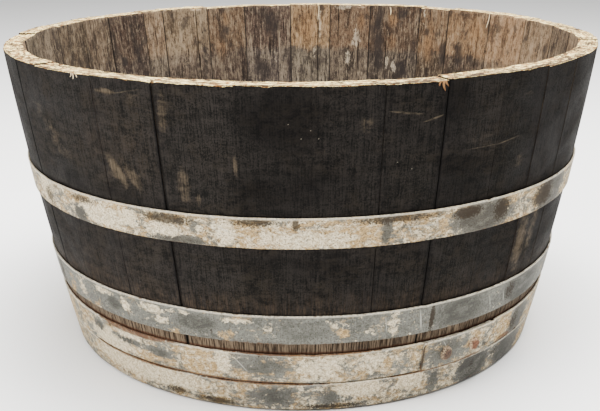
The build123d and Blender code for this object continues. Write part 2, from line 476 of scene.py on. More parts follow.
def inner_material():
    """The weathered inside: each stave its own brown, with wine stains and a tide line."""
    shader = Shader("inner_oak", roughness=0.82, specular=0.25)
    stain, pale, warm = shader.parts("inside")
    height_above = shader.parts("place")[1]
    fibres = shader.noise("grain", (1.2, 4, 14), 4, 0.8)
    streaks = shader.noise("grain", (3.8, 20, 50), 5, 0.75, 0.15)
    broad = shader.noise("grain", (14, 30, 60), 5, 0.65, 0.3)
    mottle = shader.noise("place", (6, 9, 1000), 6, 0.78, 0.2)
    cloud = shader.noise("place", (28, 36, 1000), 6, 0.7, 0.3)
    grit = shader.noise("place", (1.4, 2, 1000), 3, 0.8)
    tide = cloud * TIDE_SWING + (TIDE_HEIGHT - TIDE_SWING / 2)
    above = (height_above - tide).level(-0.004, 0.007)
    colour = shader.blend(above, shader.stored("lower", "Color"), shader.stored("upper", "Color"))
    dark = shader.blend(1.0, colour, tone(112, 102, 92), "MULTIPLY")
    light = colour.coat(0.36, 190, 172, 144)
    colour = shader.blend(broad.level(0.49, 0.38, 0.0, 0.8), colour, dark)
    colour = shader.blend(broad.level(0.52, 0.62, 0.0, 0.5), colour, light)
    fine = streaks * 0.4 + mottle * 0.7 + fibres * 1.2 + grit * 0.4
    colour = shader.blend(fine.level(1.38, 1.54, 0.0, 0.9), colour, light)
    colour = shader.blend(fine.level(1.34, 1.2), colour, dark)
    colour = colour.coat(grit.level(0.57, 0.68, 0.0, 0.6), 46, 36, 28)
    colour = colour.coat(cloud.level(0.52, 0.62, 0.0, 0.7), 46, 37, 30)
    warmed = warm.level(0.05, 0.9) * fine.level(1.22, 1.48, 0.1, 0.6)
    colour = colour.coat(warmed, 150, 112, 72)
    stained = stain.ragged(cloud, 0.45, 2.4) * 0.8
    colour = colour.coat(stained, 36, 29, 25)
    flaked = pale.ragged(mottle, 0.2, 3.0) * fine.level(1.26, 1.42, 0.2, 0.75)
    colour = colour.coat(flaked, 178, 164, 142)
    joint = shader.amount("edge").level(0.0001, 0.0016, 0.85, 0.0)
    colour = colour.coat(joint, 24, 18, 14)
    split = shader.amount("split").level(0.2, 0.8, 0.0, 0.9)
    colour = colour.coat(split, 18, 13, 10)
    height = fibres + streaks * 1.5 + mottle * 1.5 + grit * 0.6
    return shader.finish(colour, height=height, depth=0.001)


def head_material():
    """The tub's bottom: oak gone grey and wine-stained, dirt lying along the joints."""
    shader = Shader("head_oak", roughness=0.86, specular=0.2)
    fibres = shader.noise("grain", (1.3, 50, 4), 3, 0.7)
    streaks = shader.noise("grain", (7, 160, 20), 4, 0.6, 0.4)
    cloud = shader.noise("place", (90, 90, 1000), 5, 0.65, 0.5)
    colour = streaks.level(0.4, 0.62).between((58, 46, 34), (112, 92, 66))
    colour = colour.coat(fibres.level(0.42, 0.56, 0.75, 0.0), 40, 31, 24)
    colour = colour.coat(cloud.level(0.48, 0.6, 0.0, 0.75), 48, 34, 27)
    dirt = shader.amount("edge").level(0.0005, 0.006, 0.9, 0.0)
    colour = colour.coat(dirt, 38, 30, 24)
    corner = shader.amount("reach").level(0.235, 0.285, 0.0, 0.7)
    colour = colour.coat(corner * cloud.level(0.3, 0.6, 0.4, 1.0), 44, 34, 26)
    height = fibres + streaks
    return shader.finish(colour, height=height, depth=0.0008)


def splinter_material(name, root, tip):
    """Torn oak fibres, from the colour at their root to the one at their tip."""
    shader = Shader(name, roughness=0.85, specular=0.2)
    fibres = shader.noise("grain", (0.6, 0.6, 12), 3, 0.7)
    colour = shader.blend(shader.amount("reach"), root, tip)
    colour = colour.coat(fibres.level(0.45, 0.65, 0.0, 0.6), 120, 84, 52)
    return shader.finish(colour, height=fibres, depth=0.0004)


# ---- staves ------------------------------------------------------------------------------
TIDE_HEIGHT, TIDE_SWING = 0.296, 0.040
COLUMN_STEP = 0.0021
ROW_STEP = 0.0025
RIM_BAND = 0.014
EDGE_ROUNDING = 0.0009
SPLIT_MARGIN = 0.004

# The inside colours of the staves that show, above and below the tide line, as screen colours.
INSIDE_COLOURS = {
    11: ((144, 114, 84), (104, 84, 64)), 12: ((128, 100, 71), (82, 66, 52)),
    13: ((104, 80, 56), (75, 60, 45)), 14: ((76, 57, 41), (58, 48, 40)),
    15: ((98, 76, 56), (82, 70, 58)), 16: ((138, 110, 78), (90, 81, 69)),
    17: ((75, 58, 47), (68, 58, 52)), 18: ((92, 71, 51), (64, 50, 40)),
    19: ((122, 103, 80), (91, 77, 64)), 20: ((122, 100, 77), (84, 73, 61)),
    21: ((68, 51, 39), (54, 41, 34)), 22: ((99, 82, 64), (84, 69, 56)),
    23: ((86, 71, 54), (71, 58, 47)), 24: ((94, 80, 64), (77, 67, 54)),
    25: ((99, 86, 68), (80, 69, 58)),
}
OTHER_INSIDES = [
    ((113, 91, 69), (82, 68, 56)), ((86, 68, 51), (65, 52, 43)),
    ((127, 104, 79), (91, 76, 62)), ((76, 58, 45), (58, 48, 39)),
]
# How light the outside of each stave is against the others, 0 to 1: partly each stave's own tone, and
# partly painted light, for along the front the staves grow darker from the left to the right, away from the
# light.
LIGHTNESS = {
    26: 0.6, 27: 0.5, 28: 0.55, 29: 0.65, 30: 0.7, 31: 0.62, 32: 0.42, 1: 0.4,
    2: 0.34, 3: 0.34, 4: 0.2, 5: 0.2, 6: 0.25, 7: 0.3,
}
OTHER_LIGHTNESS = [0.5, 0.65, 0.38, 0.56, 0.44]
# Gaps at the joints, in mm, by the stave on their clockwise side; the others are tight.
OPEN_JOINTS = {27: 0.9, 29: 0.3, 30: 0.8, 1: 0.4, 2: 0.75, 3: 0.2}
TIGHT_JOINT = 0.06

# Brown places on the sawn rim: angle, depth in the wall, half width, half depth, strength.
RIM_STAINS = [
    (286.5, 2, 34, 9, 1.1), (298, 1, 34, 7, 1), (310, 1, 60, 6, 1), (322, 5, 50, 8, 0.55),
    (340, 14, 60, 12, 0.4), (5, 12, 90, 12, 0.35), (226, 0, 30, 4, 0.9), (196, 23, 60, 5, 0.6),
    (240, 0, 40, 4, 0.5), (268, 0, 70, 4, 0.7), (215, 23, 30, 4, 0.5), (258, 23, 60, 3, 0.5),
]
# Marks: angle, height, half width, half height, strength and, where it slants, its slope.
# Outside: wood rubbed bare, sooty patches and brown, earthy ones.
SCUFFS = [
    (222.4, 292, 15, 34, 0.36, -0.8), (238.2, 268, 8, 14, 0.8, -0.5), (241.4, 265, 9, 15, 0.55, -0.5),
    (250.9, 262, 7, 18, 0.55), (253.2, 250, 3, 8, 0.5), (238.4, 350.5, 11, 2.6, 0.9),
    (248.6, 334, 5, 20, 0.5, 0.1), (259.8, 285, 2.4, 13, 0.5), (279.8, 326, 7, 10, 0.3),
    (243.5, 348, 9, 10, 0.3), (309.5, 340, 10, 3, 0.35), (300.5, 300, 22, 9, 0.2), (310, 268, 6, 8, 0.4),
    (315.8, 165, 11, 34, 0.7), (319.5, 180, 8, 40, 0.5), (66, 290, 9, 24, 0.7, -0.3),
    (128, 276, 6, 26, 0.8, 0.4), (186, 296, 7, 22, 0.6, 0.4),
]
SOOT = [
    (266, 330, 40, 34, 0.9), (268, 262, 60, 26, 0.7), (240, 244, 44, 12, 0.6), (294, 340, 16, 30, 0.8),
    (297, 262, 30, 30, 0.7), (226, 250, 28, 14, 0.8), (268, 182, 70, 14, 0.5), (120, 250, 60, 20, 0.7),
    (40, 310, 60, 30, 0.7),
]
EARTHY = [
    (270, 136, 150, 12, 0.9), (232, 150, 60, 22, 0.6), (303, 138, 40, 22, 0.9), (317, 200, 14, 60, 0.7),
    (238, 294, 50, 45, 0.5), (301, 322, 26, 40, 0.4), (90, 140, 260, 16, 0.8), (340, 300, 60, 60, 0.5),
]
# Inside: wine stains, pale flakes and warm, orange wood.
STAINS = [
    (117.5, 320, 5, 60, 0.5), (140.5, 262, 14, 16, 0.5), (142.7, 297, 6, 6, 1.3),
    (139, 320, 12, 34, 0.55), (111, 329, 6, 7, 0.9), (97.4, 334, 14, 22, 0.75), (101, 262, 20, 12, 0.6),
    (68, 345, 8, 26, 0.9), (67.8, 296, 9, 26, 1), (61, 268, 14, 10, 0.9), (62, 352, 14, 8, 0.7),
    (53.7, 329, 5, 7, 0.9), (48.4, 297, 6, 20, 1), (43.2, 300, 8, 16, 0.95), (57.6, 300, 6, 26, 0.6),
    (10.6, 332, 7, 10, 0.9), (42.5, 358, 14, 6, 0.5), (87.8, 258, 24, 14, 0.4), (236, 310, 18, 24, 0.6),
    (300, 300, 20, 40, 0.6),
]
PALE_MARKS = [
    (74.2, 312, 7, 14, 0.8), (76.4, 283, 5, 11, 0.8), (65.3, 279, 3, 10, 0.85), (63, 271, 4, 9, 0.9),
    (84.6, 330, 2, 30, 0.7), (78, 362, 12, 4, 0.9), (86, 290, 4, 14, 0.4), (55, 350, 2, 16, 0.5),
    (97, 282, 8, 10, 0.3),
]
WARM_MARKS = [
    (112.8, 300, 8, 20, 0.5), (110.6, 346, 6, 10, 0.5), (88, 330, 16, 26, 0.6), (73, 340, 6, 14, 0.6),
    (64, 346, 8, 12, 0.8), (53, 310, 10, 30, 0.6), (38, 340, 20, 20, 0.6), (28, 350, 14, 20, 0.4),
    (64, 310, 8, 12, 0.5),
]
# Splits along the grain on the inside: angle, low and high end in mm, depth in mm.
SPLITS = [
    (119.3, 210, 366, 3.5), (85.1, 190, 366, 3), (73.7, 248, 297, 3.5), (65.7, 252, 300, 2.5),
    (79.4, 300, 366, 2), (98.6, 270, 300, 2.5), (37.6, 230, 320, 2), (156, 240, 340, 2.5),
    (205, 150, 330, 3), (251, 100, 366, 3), (326, 120, 290, 2.5),
]


def inner_radius(z):
    """Distance from the axis to the staves' inner face, down through howel, croze and chime."""
    corners = (0, CHIME_BEVEL_HEIGHT, HOWEL_LOW, CROZE_LOW, CROZE_LOW + 0.0002,
               CROZE_HIGH - 0.0002, CROZE_HIGH, HOWEL_HIGH)
    radii = (CHIME_RADIUS - CHIME_FLAT, wall_radius(CHIME_BEVEL_HEIGHT, STAVE_THICKNESS),
             wall_radius(HOWEL_LOW, STAVE_THICKNESS), HOWEL_RADIUS, CROZE_RADIUS,
             CROZE_RADIUS, HOWEL_RADIUS, wall_radius(HOWEL_HIGH, STAVE_THICKNESS))
    low = np.interp(z, corners, radii)
    return np.where(z > HOWEL_HIGH, wall_radius(z, STAVE_THICKNESS), low)


def stave_rows(top):
    """Heights, radii, depths in the wall and faces of the points round a stave's section."""
    outer = np.concatenate([
        np.arange(0, top - RIM_BAND, ROW_STEP), top - RIM_BAND * np.linspace(1, 0, 12) ** 1.3,
    ])
    across = np.linspace(0, 1, 14)[1:-1] * STAVE_THICKNESS
    croze = (CROZE_HIGH, CROZE_HIGH - 0.0002, CROZE_LOW + 0.0002, CROZE_LOW)
    inner = np.concatenate([outer[outer > HOWEL_HIGH][::-1], (HOWEL_HIGH, 0.060, 0.054), croze,
                            (0.035, HOWEL_LOW, CHIME_BEVEL_HEIGHT, 0.013, 0.006, 0)])
    foot = CHIME_RADIUS - CHIME_FLAT * np.array([0.66, 0.33])
    height = np.concatenate([outer, np.full(len(across), top), inner, [0, 0]])
    radius = np.concatenate([
        wall_radius(outer), wall_radius(top) - across, inner_radius(inner), foot,
    ])
    face = np.repeat([0, 1, 2, 3], [len(outer), len(across), len(inner), 2])
    return height, radius, wall_radius(height) - radius, face


def stave_columns(half_width, splits):
    """Places across a stave, from its middle: close together at its edges and at splits."""
    steps = int(2 * half_width / COLUMN_STEP)
    middle = np.linspace(-half_width + EDGE_ROUNDING, half_width - EDGE_ROUNDING, steps)
    edge = half_width - np.array([0, 0.08, 0.3, 0.65]) * EDGE_ROUNDING
    for split in splits:
        middle = middle[abs(middle - split) > 0.0012]
        middle = np.concatenate([middle, split + np.array([-0.9, -0.25, 0, 0.25, 0.9]) * MM])
    return np.sort(np.concatenate([-edge, middle, edge]))


def rim_bites(turn, side):
    """How deep the saw tore the rim's edge away, at angles in radians, in metres."""
    points = stack(turn * RIM_RADIUS, side)
    small = np.clip(rough(points, (0.0050, 1, 1), 11, 3) + 0.10, 0, 1) * 0.0006
    large = np.clip(rough(points, (0.014, 1, 1), 12, 3) - 0.50, 0, 1) * 0.0022
    return small + large


def stave_extent(number, node):
    """Middle angle, half width at the rim and half gaps before and after a stave."""
    middle, half_sweep = span(node)
    before = OPEN_JOINTS.get((number - 2) % STAVE_COUNT + 1, TIGHT_JOINT) * MM / 2
    after = OPEN_JOINTS.get(number, TIGHT_JOINT) * MM / 2
    half_width = half_sweep * RIM_RADIUS - (before + after) / 2
    return middle + (before - after) / 2 / RIM_RADIUS, half_width, before, after


def own_splits(middle, half_width):
    """The splits that fall on a stave: place across it, low end, high end and depth."""
    own = []
    for angle, *sizes in SPLITS:
        place = ((math.radians(angle) - middle + math.pi) % math.tau - math.pi) * RIM_RADIUS
        if abs(place) < half_width - SPLIT_MARGIN:
            own.append((place, *(size * MM for size in sizes)))
    return own


def stave_points(number, node):
    """Everything that is known about each point of a stave, one row for each place across it."""
    middle, half_width, gap_before, gap_after = stave_extent(number, node)
    splits = own_splits(middle, half_width)
    height, radius, depth, face = stave_rows(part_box(node)[1].z)
    offset = stave_columns(half_width, [split[0] for split in splits])
    height, radius, depth = (np.tile(row, (len(offset), 1)) for row in (height, radius, depth))
    opened = np.clip(np.where(offset < 0, gap_before, gap_after) / (0.4 * MM), 0.15, 1)[:, None]
    offset = offset[:, None]
    turn = middle + offset / RIM_RADIUS + 0 * radius
    across = (turn - middle) * radius
    return SimpleNamespace(
        turn=turn, height=height, radius=radius, depth=depth, face=face, offset=offset,
        half_width=half_width, opened=opened, splits=splits, across=across,
        edge=(half_width - abs(offset)) * radius / RIM_RADIUS,
        grain=stack(across, depth, height) + (number * 0.731, number * 0.377, 0),
    )


def face_wear(spot, draw):
    """How far the outer and the inner face stand back from the CAD's, in metres."""
    lean = draw.uniform(-0.3, 0.3, 2) * MM
    sunk = draw.uniform([0.05, 0.0], [0.45, 1.1]) * MM
    outer, inner = (
        low + abs(slope) + slope * spot.across / spot.half_width for low, slope in zip(sunk, lean)
    )
    outer += rounded(spot.edge, EDGE_ROUNDING) * spot.opened
    outer += uneven(spot.grain, (0.012, 0.05, 0.16), 0.00025, 1, 2)
    outer += 0.00010 * np.clip(rough(spot.grain, (0.0045, 0.05, 0.09), 2), 0, 1)
    inner += rounded(spot.edge, EDGE_ROUNDING * 1.4)
    inner += uneven(spot.grain, (0.02, 0.05, 0.20), 0.0008, 3, 3)
    inner += 0.0005 * np.clip(rough(spot.grain, (0.0045, 0.05, 0.07), 4), 0, 1)
    return outer, inner * smooth(spot.height, 0.050, 0.075)


def rim_drop(spot, torn, inner_torn, draw):
    """How far the sawn end lies below the CAD's, in metres."""
    tilt = draw.uniform(-0.5, 0.5, 2) * MM
    drop = abs(tilt).sum() + tilt[0] * spot.offset / spot.half_width
    drop = drop + tilt[1] * spot.depth / STAVE_THICKNESS
    drop += uneven(turned(spot.radius, spot.turn), (0.009, 0.016, 1), 0.00045, 5, 2)
    drop += rounded(spot.edge, 0.0005) * spot.opened
    drop += 0.8 * torn * fade(spot.depth, 0.0015 + 1.4 * torn)
    return drop + 0.8 * inner_torn * fade(STAVE_THICKNESS - spot.depth, 0.0015 + 1.4 * inner_torn)


def open_splits(spot):
    """Where the splits are, and how deep they go into the inner face and the sawn end."""
    crack, inwards, downwards = np.zeros((3, *spot.radius.shape))
    for place, low, high, deep in spot.splits:
        near = smooth(-abs(spot.offset - place), -0.0007, -0.0003)
        ends = smooth(spot.height, low, low + 0.03) * smooth(-spot.height, -high - 0.03, -high)
        at_rim = smooth(spot.depth, STAVE_THICKNESS - 2 * deep, STAVE_THICKNESS)
        crack = np.maximum(crack, near * ends)
        inwards += near * ends * deep
        downwards += near * ends * at_rim * deep
    return crack, inwards, downwards


def build_stave(number, materials):
    """One stave: worn faces and edges, splits inside, and a torn sawn end at the rim."""
    node = f"stave_{number:02d}"
    draw = np.random.default_rng(number)
    spot = stave_points(number, node)
    turn, height, face = spot.turn, spot.height, spot.face
    outside, rim, inside = face == 0, face == 1, face == 2
    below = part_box(node)[1].z - height
    torn, inner_torn = rim_bites(turn, 0.0), rim_bites(turn, 5.0)
    crack, inwards, downwards = open_splits(spot)
    outer_wear, inner_wear = face_wear(spot, draw)
    outer_wear += torn * fade(below, 0.0012 + 1.8 * torn)
    inner_wear += inner_torn * fade(below, 0.0012 + 1.8 * inner_torn) + inwards
    dropped = rim_drop(spot, torn, inner_torn, draw) + downwards
    moved = spot.radius - outer_wear * outside + inner_wear * inside
    lowered = height - dropped * np.where(rim, 1.0, smooth(-below, -0.006, 0))
    rings = turned(moved, turn, np.maximum(lowered, 0))
    edge_faces = np.where(rim | np.roll(rim, -1), 1, face)
    edge_faces = np.where((edge_faces == 2) & (np.roll(face, -1) == 3), 3, edge_faces)
    piece = loft(f"{node}_oak", rings, materials, edge_faces)

    upper, lower = INSIDE_COLOURS.get(number, OTHER_INSIDES[number % len(OTHER_INSIDES)])
    light = LIGHTNESS.get(number, OTHER_LIGHTNESS[number % len(OTHER_LIGHTNESS)])
    keep(
        piece,
        grain=spot.grain,
        place=stack(turn * PLACE_RADIUS, height),
        edge=spot.edge,
        joint=smooth(-spot.edge, -0.0005 - 0.0012 * spot.opened, -0.0002) * spot.opened,
        depth=spot.depth,
        raw=fade(below, 0.0002 + 0.5 * torn),
        rim_stain=painted(turn, spot.depth, RIM_STAINS),
        split=crack,
        outside=painted_layers(turn, height, (SCUFFS, SOOT, EARTHY)),
        inside=painted_layers(turn, height, (STAINS, PALE_MARKS, WARM_MARKS)),
        lightness=np.full(height.shape, light),
        upper=np.broadcast_to(tone(*upper)[:3], rings.shape),
        lower=np.broadcast_to(tone(*lower)[:3], rings.shape),
    )
    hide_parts(node)


def build_staves():
    """All the staves, which share their materials."""
    inner = inner_material()
    materials = [outer_material(), rim_material(), inner, inner]
    for number in range(1, STAVE_COUNT + 1):
        build_stave(number, materials)


# ---- hoops and rivets ----------------------------------------------------------------------
HOOP_STEP = 0.0024
ARRIS = 0.0006
# For each hoop: how much pale oxide, cream dirt and grime it has, the colour of its zinc, its
# marks, laid out as the staves' are, and its scratches. Tan marks add cream dirt. Bare marks
# darken the zinc where it is worn bare; the large ones at about 300 to 325 degrees are painted
# shade on the hoop's right side.
HOOP_LOOKS = {
    "bilge_hoop": {
        "amounts": (0.54, 0.58, 0.5), "zinc": (108, 104, 93),
        "pale": [
            (239.6, 219, 8, 8, 0.9), (257.4, 217, 8, 12, 1), (214, 220, 14, 14, 0.8),
            (246, 212, 16, 8, 0.9), (270, 211, 40, 8, 0.6), (232, 216, 36, 10, 0.8),
            (120, 216, 60, 12, 0.8),
        ],
        "tan": [
            (263.2, 213, 26, 10, 0.7), (277.8, 215, 30, 12, 0.8), (238, 222, 10, 8, 0.6),
            (40, 220, 70, 12, 0.6),
        ],
        "bare": [
            (226.6, 210, 10, 9, 1), (249, 204, 30, 4, 0.8), (284, 217, 5, 16, 0.6),
            (303, 216, 34, 16, 0.95), (324, 218, 26, 20, 1.1), (170, 218, 40, 10, 0.8),
        ],
        "rust": [
            (241.6, 222, 1.2, 6, 0.8), (209, 224, 5, 8, 0.5),
        ],
        "grime": [
            (247, 226, 24, 5, 0.9), (269, 227, 3, 6, 1), (215, 214, 10, 9, 0.6), (286, 229, 40, 4, 0.7),
            (262, 229, 20, 4, 0.7), (299, 225, 16, 6, 0.9), (307, 220, 10, 12, 0.8),
            (320, 218, 20, 14, 0.8), (228, 227, 20, 4, 0.6),
        ],
        "scratches": [
            ((287.6, 224), (288.6, 206), 0.8), ((287, 219), (294, 217), 0.9),
            ((292.8, 226), (293.4, 212), 0.8), ((253.5, 226), (258, 212), 0.9),
            ((255, 227), (259.6, 213), 0.8),
        ],
    },
    "quarter_hoop": {
        "amounts": (0.32, 0.3, 0.3), "zinc": (98, 98, 91),
        "pale": [
            (227.4, 116, 18, 4, 1), (233.5, 108, 9, 7, 1), (240.2, 114, 16, 6, 1), (242, 102, 9, 5, 0.9),
            (247, 116, 16, 3, 0.9), (219, 108, 10, 12, 0.6), (258, 115, 16, 3, 0.9),
            (264, 106, 9, 5, 0.5), (276, 112, 10, 7, 0.5), (287, 106, 6, 18, 0.7),
            (283, 100, 10, 7, 0.5), (60, 106, 50, 10, 0.7),
        ],
        "tan": [
            (277.4, 101, 8, 6, 1), (256, 98, 8, 6, 0.7), (214, 104, 9, 16, 0.8), (150, 100, 40, 8, 0.7),
        ],
        "bare": [
            (230.4, 105, 11, 8, 0.9), (250, 108, 22, 9, 0.8), (270, 104, 26, 12, 0.4),
            (302, 106, 34, 18, 0.7), (321, 106, 36, 18, 1.1), (110, 104, 60, 12, 0.6),
        ],
        "rust": [
            (234.1, 99, 1.5, 6, 0.9), (292.8, 100, 1.6, 12, 0.5), (208, 96, 14, 5, 0.7),
            (262, 91, 60, 2, 0.5),
        ],
        "grime": [
            (294.9, 106, 3.2, 18, 1.2), (316, 108, 12, 14, 0.7), (253, 99, 2, 4, 0.8),
            (207, 106, 12, 16, 0.8),
        ],
        "scratches": [
            ((292.1, 120), (292.9, 92), 1.3), ((285.2, 118), (285.8, 96), 0.8),
            ((309, 114), (310.4, 92), 0.7), ((313.4, 112), (314.6, 94), 0.8),
        ],
    },
    "collet_hoop": {
        "amounts": (0.52, 0.55, 0.34), "zinc": (112, 111, 103),
        "pale": [
            (254.5, 62, 7, 13, 1), (273.3, 58, 22, 14, 0.7), (283, 62, 16, 10, 0.5),
            (232, 66, 20, 5, 0.9), (226, 50, 40, 10, 0.9), (100, 58, 60, 10, 0.8),
        ],
        "tan": [
            (249, 59, 15, 18, 1.3), (252, 50, 12, 8, 1), (286.6, 56, 5, 8, 0.9), (257, 48, 16, 5, 0.6),
            (236, 48, 26, 4, 0.8), (318, 56, 18, 14, 0.7), (206, 56, 10, 16, 0.7),
            (160, 58, 50, 12, 0.7),
        ],
        "bare": [
            (222, 61, 12, 7, 0.7), (231, 59, 24, 6, 0.65), (240, 56, 16, 6, 0.7), (262, 60, 30, 14, 0.5),
            (300, 58, 26, 16, 0.55), (324, 56, 20, 18, 1), (40, 58, 60, 12, 0.6),
        ],
        "rust": [
            (234, 73, 50, 3.4, 1.5), (318.6, 42, 20, 4, 1), (307, 40, 16, 2.5, 0.7),
            (294.6, 56, 1.8, 22, 0.8), (299.4, 57, 8, 8, 0.45), (306.7, 57, 8, 8, 0.5),
            (270, 75, 70, 1.8, 1.2), (252, 39, 90, 1.8, 1.1),
        ],
        "grime": [
            (226.5, 70.6, 3, 3, 1), (262, 73, 6, 3, 0.7), (294.1, 57, 1.5, 22, 1.5),
            (298.6, 56, 3, 9, 0.5), (311, 47, 10, 4, 0.6), (322, 56, 12, 16, 0.7),
        ],
        "scratches": [
            ((256.6, 70), (259.4, 50), 0.9), ((298.4, 73), (299.6, 62), 0.7),
        ],
    },
    "head_hoop": {
        "amounts": (0.55, 0.54, 0.42), "zinc": (104, 103, 97),
        "pale": [
            (281.5, 26, 22, 9, 1), (292.3, 26, 14, 9, 0.9), (234, 24, 80, 10, 1), (271.6, 13, 1.6, 2, 1),
            (304, 24, 4, 10, 0.6), (120, 20, 60, 10, 0.8),
        ],
        "tan": [
            (226, 22, 40, 14, 0.6), (246, 24, 24, 8, 0.6), (44, 20, 50, 12, 0.7), (160, 20, 30, 12, 0.6),
        ],
        "bare": [
            (264, 20, 24, 12, 0.6), (275.5, 17, 12, 10, 0.5), (309, 22, 26, 18, 1), (322, 20, 30, 20, 1),
            (298, 22, 8, 14, 0.5),
        ],
        "rust": [
            (219.1, 27, 2.5, 3, 0.9), (232, 36, 60, 1.8, 1.1), (262, 36, 70, 1.4, 1),
            (300, 36, 60, 1.4, 0.8),
        ],
        "grime": [
            (243, 10, 16, 5, 0.8), (252, 7, 24, 4, 0.9), (308.7, 20, 4, 16, 0.4), (316, 26, 12, 6, 0.4),
            (276, 6, 40, 3, 0.8),
        ],
        "scratches": [
            ((277.2, 30), (277.8, 8), 0.7), ((300.6, 29), (301.2, 13), 0.8),
        ],
    },
}


def hoop_material(name, look, first):
    """Old galvanising: dull zinc under pale oxide, cream dirt, rust at the edges and grime; a painted
    highlight along the top edge, and painted shade on the right side.
    """
    shader = Shader(name, roughness=0.6, specular=0.06)
    pale, tan, bare = shader.parts("patina")
    rust, grime = shader.parts("decay")[:2]
    edge = shader.amount("edge")
    top_edge = shader.amount("top_edge")
    flakes = shader.noise("place", (8.5, 6.5, 1000), 7, 0.78, 0.5)
    cloud = shader.noise("place", (50, 22, 1000), 5, 0.62, 0.5)
    drift = shader.noise("place", (26, 15, 1000), 7, 0.75, 0.4, shift=(3, 5, 0))
    mottle = shader.noise("place", (4.5, 4, 1000), 5, 0.8, 0.3, shift=(7, 1, 0))
    speck = shader.noise("place", (2, 1.8, 1000), 4, 0.85)
    fine = shader.noise("place", (0.9, 0.9, 1000), 2, 0.6)
    brushed = shader.noise("place", (1.6, 20, 1000), 3, 0.6)
    oxide_amount, cream_amount, grime_amount = look["amounts"]
    deep = tone(*[v * 0.8 for v in look["zinc"]])
    colour = shader.blend(cloud.level(0.38, 0.6), deep, tone(*look["zinc"]))
    colour = colour.coat(mottle.level(0.44, 0.62, 0.0, 0.5), 132, 131, 122)
    colour = colour.coat(brushed.level(0.48, 0.66, 0.0, 0.35), 124, 124, 118)

    # Where bare marks lie the zinc turns duller and darker: worn-bare zinc, and on the right side painted
    # shade.
    dull = tone(*[v * 0.56 for v in look["zinc"]])
    bare_and_shaded = bare.level(0.0, 0.8) * drift.level(0.36, 0.56, 0.4, 1.0)
    colour = shader.blend(bare_and_shaded * 0.92, colour, dull)

    thick = tan * 0.5 + bare * -0.56 + (cream_amount - 0.5)
    thick = thick + drift * 2.4
    cream = thick.level(1.16, 1.42)
    cream_tone = mottle.level(0.4, 0.6).between((142, 116, 78), (196, 166, 118))
    colour = shader.blend(cream * 0.88, colour, cream_tone)

    crust = pale * 0.5 + bare * -0.5 + (oxide_amount - 0.5)
    crust = crust + flakes * 2.4 + speck * 0.35
    oxide = crust.level(1.4, 1.5)
    oxide_tone = mottle.level(0.4, 0.6).between((176, 160, 130), (226, 213, 184))
    colour = shader.blend(oxide * 0.92, colour, oxide_tone)

    soot = grime * 0.6 + (grime_amount - 0.5) + mottle * 1.2
    soot = (soot + speck * 2.0).level(1.74, 1.82)
    colour = colour.coat(soot * 0.88, 44, 36, 28)
    pits = speck.level(0.53, 0.59, 0.0, 0.85)
    colour = colour.coat(pits, 50, 42, 33)

    line = edge.level(0.0, 0.0026, 0.4, 0.0)
    rusty = rust * 0.62 + line + flakes * 1.6
    rust_mask = rusty.level(1.16, 1.42)
    rust_tone = speck.level(0.4, 0.6).between((62, 40, 28), (112, 74, 48))
    colour = shader.blend(rust_mask * 0.8, colour, rust_tone)

    scratches = [shader.stroke(*stroke, first) for stroke in look["scratches"]]
    scratch = shader.either(*scratches) * speck.level(0.4, 0.58, 0.35, 0.85)
    colour = colour.coat(scratch, 186, 184, 172)
    # Painted highlight: a thin pale line along the top edge where light catches it, left off where there is
    # rust.
    painted_top_highlight = top_edge * (1.0 - rust_mask)
    colour = colour.coat(painted_top_highlight * speck.level(0.42, 0.56, 0.2, 0.8), 232, 222, 200)

    chalky = shader.either(oxide, cream, rust_mask, soot)
    shine = chalky.level(0.0, 1.0, 0.58, 0.85)
    metal = chalky.level(0.0, 0.8, 0.1, 0.0)
    height = oxide * 0.6 + rust_mask * 0.5 + fine * 0.4
    height = height + speck * 0.8 + mottle * 0.8
    return shader.finish(colour, shine, height, 0.0004, metal)


def strip_rows(low, high):
    """Heights, offsets from the wall and nearness to the top of the points round a strip."""
    quarter = np.linspace(0, math.pi / 2, 4)
    face = np.linspace(low + ARRIS, high - ARRIS, 18)
    back = np.linspace(high - ARRIS, low + ARRIS, 6)
    top_z, top_x = high - ARRIS + ARRIS * np.sin(quarter[1:]), ARRIS * np.cos(quarter[1:])
    low_z = low + high - top_z
    height = np.concatenate([face, top_z, top_z[::-1], back, low_z, low_z[::-1]])
    far = HOOP_THICKNESS - ARRIS
    offset = np.concatenate([
        np.full(len(face), HOOP_THICKNESS), far + top_x, ARRIS - top_x[::-1], 0 * back,
        ARRIS - top_x, far + top_x[::-1],
    ])
    # Nearness to the top edge, where the hoop's material paints a highlight.
    top_edge = smooth(height, high - 0.0014, high - 0.0005)
    return height, offset, top_edge


